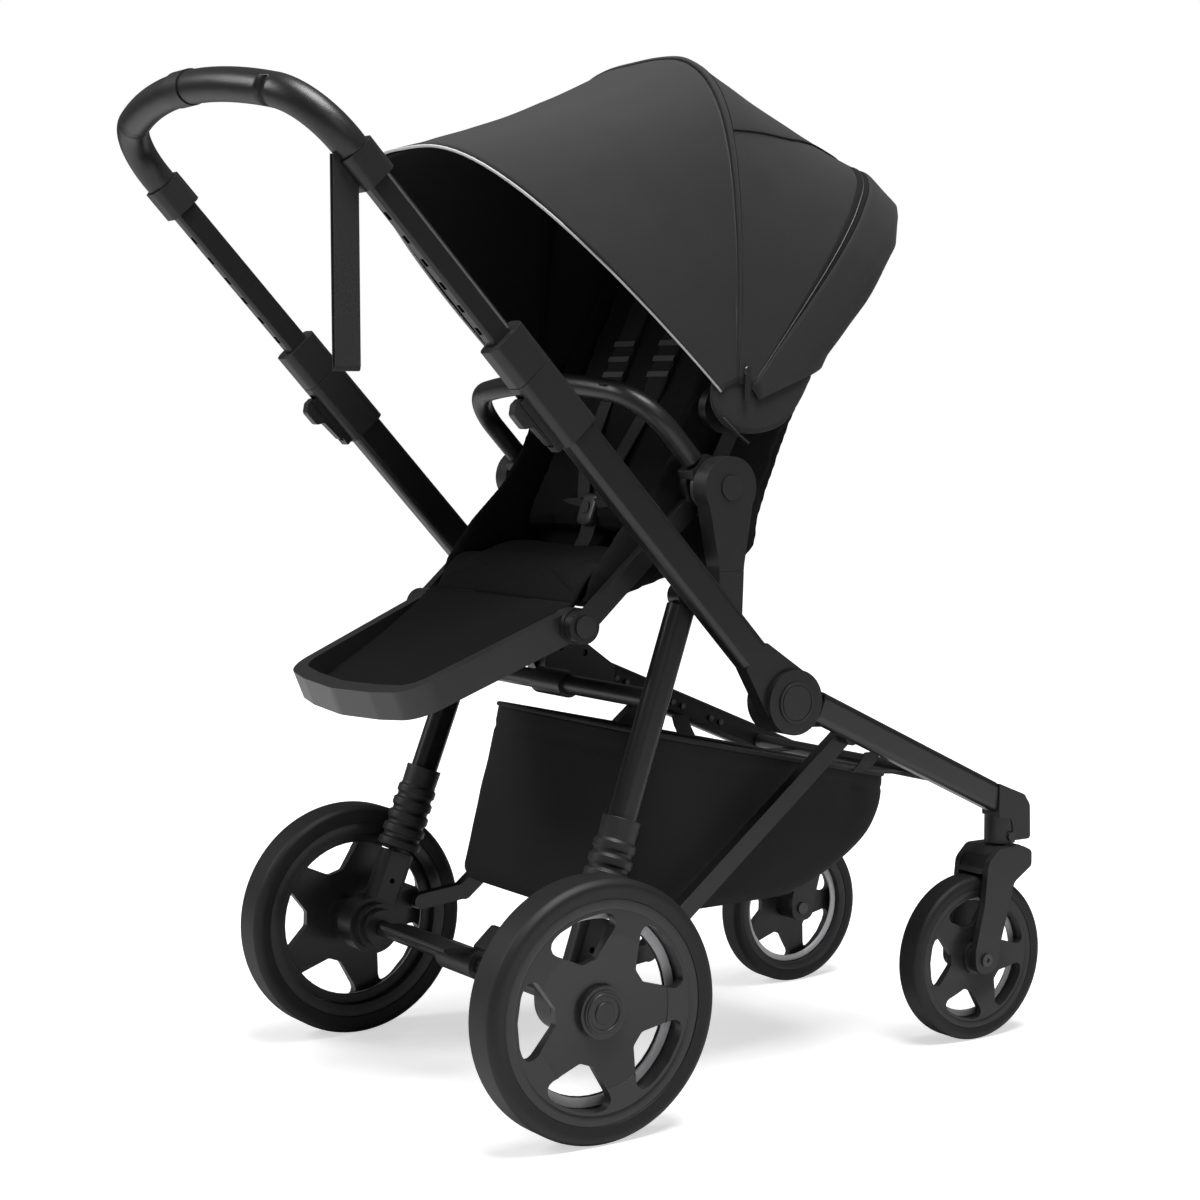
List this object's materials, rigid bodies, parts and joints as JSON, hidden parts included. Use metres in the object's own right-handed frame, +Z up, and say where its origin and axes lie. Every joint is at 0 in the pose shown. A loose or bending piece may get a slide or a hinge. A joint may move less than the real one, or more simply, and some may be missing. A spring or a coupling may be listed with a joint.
{
  "type": "baby stroller",
  "caption": "Folding baby stroller with a parent-facing padded seat, hinged canopy, sliding handlebar, bumper bar, footrest, basket, sprung rear axle and swivelling front casters.",
  "frame": {"origin": "on the ground, at the centre of the stroller's bounding box seen from above, with the stroller unfolded and the handlebar fully out", "axes": "+X towards the stroller's left wheels, -Y towards its front casters, +Z up"},
  "size_m": [0.5378, 0.9466, 1.0473],
  "materials": {
    "satin": "satin",
    "plastic": "matte",
    "tyre": "matte",
    "rubber": "matte",
    "steel": "brushed",
    "fabric": "matte",
    "grip": "matte"
  },
  "bodies": {
    "chassis": {"front_tubes": "satin", "front_cross_tube": "satin", "hinge_plates": "plastic", "caster_sockets": "plastic", "frame_rivets": "steel", "brace_lugs": "plastic", "basket": "fabric"},
    "caster_button_left": {"caster_button_left": "plastic"},
    "caster_button_right": {"caster_button_right": "plastic"},
    "caster_left": {"caster_fork_left": "plastic", "caster_bolt_left": "steel"},
    "caster_right": {"caster_fork_right": "plastic", "caster_bolt_right": "steel"},
    "front_wheel_left": {"front_rim_left": "plastic", "front_tyre_left": "tyre"},
    "front_wheel_right": {"front_rim_right": "plastic", "front_tyre_right": "tyre"},
    "upper_frame": {"upper_tubes": "satin", "hinge_caps": "plastic", "handle_housings": "plastic", "seat_mounts": "plastic", "leg_pivot_pins": "steel"},
    "fold_lever_left": {"fold_lever_left": "plastic"},
    "fold_lever_right": {"fold_lever_right": "plastic"},
    "seat_button_left": {"seat_button_left": "plastic"},
    "seat_button_right": {"seat_button_right": "plastic"},
    "handlebar": {"handlebar_tube": "satin", "handle_grip": "grip", "grip_collars": "plastic", "wrist_strap": "fabric"},
    "handle_button": {"handle_button": "plastic"},
    "rear_legs": {"rear_legs": "satin", "rear_cross_tube": "satin"},
    "fold_latch": {"fold_latch": "plastic"},
    "rear_axle": {"axle_housings": "plastic", "axle_tube": "satin", "bellows": "rubber", "suspension_springs": "steel"},
    "brake_pedal": {"brake_pedal": "plastic"},
    "rear_wheel_left": {"rear_rim_left": "plastic", "rear_tyre_left": "tyre"},
    "rear_wheel_right": {"rear_rim_right": "plastic", "rear_tyre_right": "tyre"},
    "braces": {"braces": "satin"},
    "seat": {"seat_ratchets": "steel", "seat_frame": "satin", "seat_shell": "fabric", "seat_pad": "fabric", "backrest_pad": "fabric", "canopy_rear": "fabric", "bumper_clips": "plastic", "harness": "fabric", "harness_buckle": "plastic"},
    "canopy": {"canopy_bow": "satin", "canopy_front": "fabric"},
    "footrest": {"footrest_frame": "plastic", "footrest_panel": "fabric"},
    "footrest_button_left": {"footrest_button_left": "plastic"},
    "footrest_button_right": {"footrest_button_right": "plastic"},
    "bumper": {"bumper_bar": "grip"}
  },
  "joints": [
    {"name": "fold", "type": "hinge", "parent": "chassis", "child": "upper_frame", "pos_m": [0, -0.0888, 0.398], "axis": [1, 0, 0], "range_deg": [0, 70]},
    {"name": "rear_leg_fold", "type": "hinge", "parent": "upper_frame", "child": "rear_legs", "pos_m": [0, 0.0192, 0.508], "axis": [1, 0, 0], "range_deg": [-21, 0]},
    {"name": "brace_fold", "type": "hinge", "parent": "chassis", "child": "braces", "pos_m": [0, -0.1868, 0.352], "axis": [1, 0, 0], "range_deg": [0, 37.1]},
    {"name": "handlebar_slide", "type": "slide", "parent": "upper_frame", "child": "handlebar", "axis": [0, 0.6769, 0.7361], "range_m": [-0.11, 0]},
    {"name": "handle_button_press", "type": "slide", "parent": "handlebar", "child": "handle_button", "axis": [0, 0.7361, -0.6769], "range_m": [0, 0.002], "stiffness_N_per_m": 400},
    {"name": "fold_lever_left_pull", "type": "hinge", "parent": "upper_frame", "child": "fold_lever_left", "pos_m": [0, 0.19094, 0.6638], "axis": [1, 0, 0], "range_deg": [0, 4], "stiffness_Nm_per_rad": 0.5},
    {"name": "fold_lever_right_pull", "type": "hinge", "parent": "upper_frame", "child": "fold_lever_right", "pos_m": [0, 0.19094, 0.6638], "axis": [1, 0, 0], "range_deg": [0, 4], "stiffness_Nm_per_rad": 0.5},
    {"name": "fold_latch_turn", "type": "hinge", "parent": "rear_legs", "child": "fold_latch", "pos_m": [0, 0.06628, 0.44472], "axis": [1, 0, 0], "range_deg": [0, 10], "stiffness_Nm_per_rad": 0.2},
    {"name": "suspension", "type": "slide", "parent": "rear_legs", "child": "rear_axle", "axis": [0, -0.3492, 0.937], "range_m": [0, 0.012], "stiffness_N_per_m": 30000, "deforming": ["suspension_springs"]},
    {"name": "brake_pedal_turn", "type": "hinge", "parent": "rear_axle", "child": "brake_pedal", "pos_m": [0, 0.1652, 0.127], "axis": [1, 0, 0], "range_deg": [-8, 14]},
    {"name": "rear_wheel_left_spin", "type": "hinge", "parent": "rear_axle", "child": "rear_wheel_left", "pos_m": [0.246, 0.1652, 0.127], "axis": [1, 0, 0], "continuous": true},
    {"name": "rear_wheel_right_spin", "type": "hinge", "parent": "rear_axle", "child": "rear_wheel_right", "pos_m": [-0.246, 0.1652, 0.127], "axis": [1, 0, 0], "continuous": true},
    {"name": "caster_left_swivel", "type": "hinge", "parent": "chassis", "child": "caster_left", "pos_m": [0.162, -0.4248, 0.213], "axis": [0, 0, 1], "continuous": true},
    {"name": "front_wheel_left_spin", "type": "hinge", "parent": "caster_left", "child": "front_wheel_left", "pos_m": [0.162, -0.3828, 0.0905], "axis": [1, 0, 0], "continuous": true},
    {"name": "caster_button_left_press", "type": "slide", "parent": "chassis", "child": "caster_button_left", "axis": [-1, 0, 0], "range_m": [0, 0.0015], "stiffness_N_per_m": 400},
    {"name": "seat_button_left_press", "type": "slide", "parent": "upper_frame", "child": "seat_button_left", "axis": [-1, 0, 0], "range_m": [0, 0.0015], "stiffness_N_per_m": 400},
    {"name": "footrest_button_left_press", "type": "slide", "parent": "seat", "child": "footrest_button_left", "axis": [-1, 0, 0], "range_m": [0, 0.002], "stiffness_N_per_m": 400},
    {"name": "caster_right_swivel", "type": "hinge", "parent": "chassis", "child": "caster_right", "pos_m": [-0.162, -0.4248, 0.213], "axis": [0, 0, 1], "continuous": true},
    {"name": "front_wheel_right_spin", "type": "hinge", "parent": "caster_right", "child": "front_wheel_right", "pos_m": [-0.162, -0.3828, 0.0905], "axis": [1, 0, 0], "continuous": true},
    {"name": "caster_button_right_press", "type": "slide", "parent": "chassis", "child": "caster_button_right", "axis": [1, 0, 0], "range_m": [0, 0.0015], "stiffness_N_per_m": 400},
    {"name": "seat_button_right_press", "type": "slide", "parent": "upper_frame", "child": "seat_button_right", "axis": [1, 0, 0], "range_m": [0, 0.0015], "stiffness_N_per_m": 400},
    {"name": "footrest_button_right_press", "type": "slide", "parent": "seat", "child": "footrest_button_right", "axis": [1, 0, 0], "range_m": [0, 0.002], "stiffness_N_per_m": 400},
    {"name": "seat_tilt", "type": "hinge", "parent": "upper_frame", "child": "seat", "pos_m": [0, -0.0288, 0.613], "axis": [-1, 0, 0], "range_deg": [-20, 8]},
    {"name": "canopy_fold", "type": "hinge", "parent": "seat", "child": "canopy", "pos_m": [0, -0.0468, 0.69], "axis": [1, 0, 0], "range_deg": [0, 42], "deforming": ["canopy_front"]},
    {"name": "footrest_tilt", "type": "hinge", "parent": "seat", "child": "footrest", "pos_m": [0, 0.1202, 0.48], "axis": [1, 0, 0], "range_deg": [-45, 18]},
    {"name": "bumper_slide", "type": "slide", "parent": "seat", "child": "bumper", "axis": [0, 0.682, 0.7314], "range_m": [0, 0.03]}
  ],
  "couplings": [
    {"joint": "rear_leg_fold", "follows": "fold", "ratio": -0.3},
    {"joint": "brace_fold", "follows": "fold", "ratio": 0.53}
  ]
}
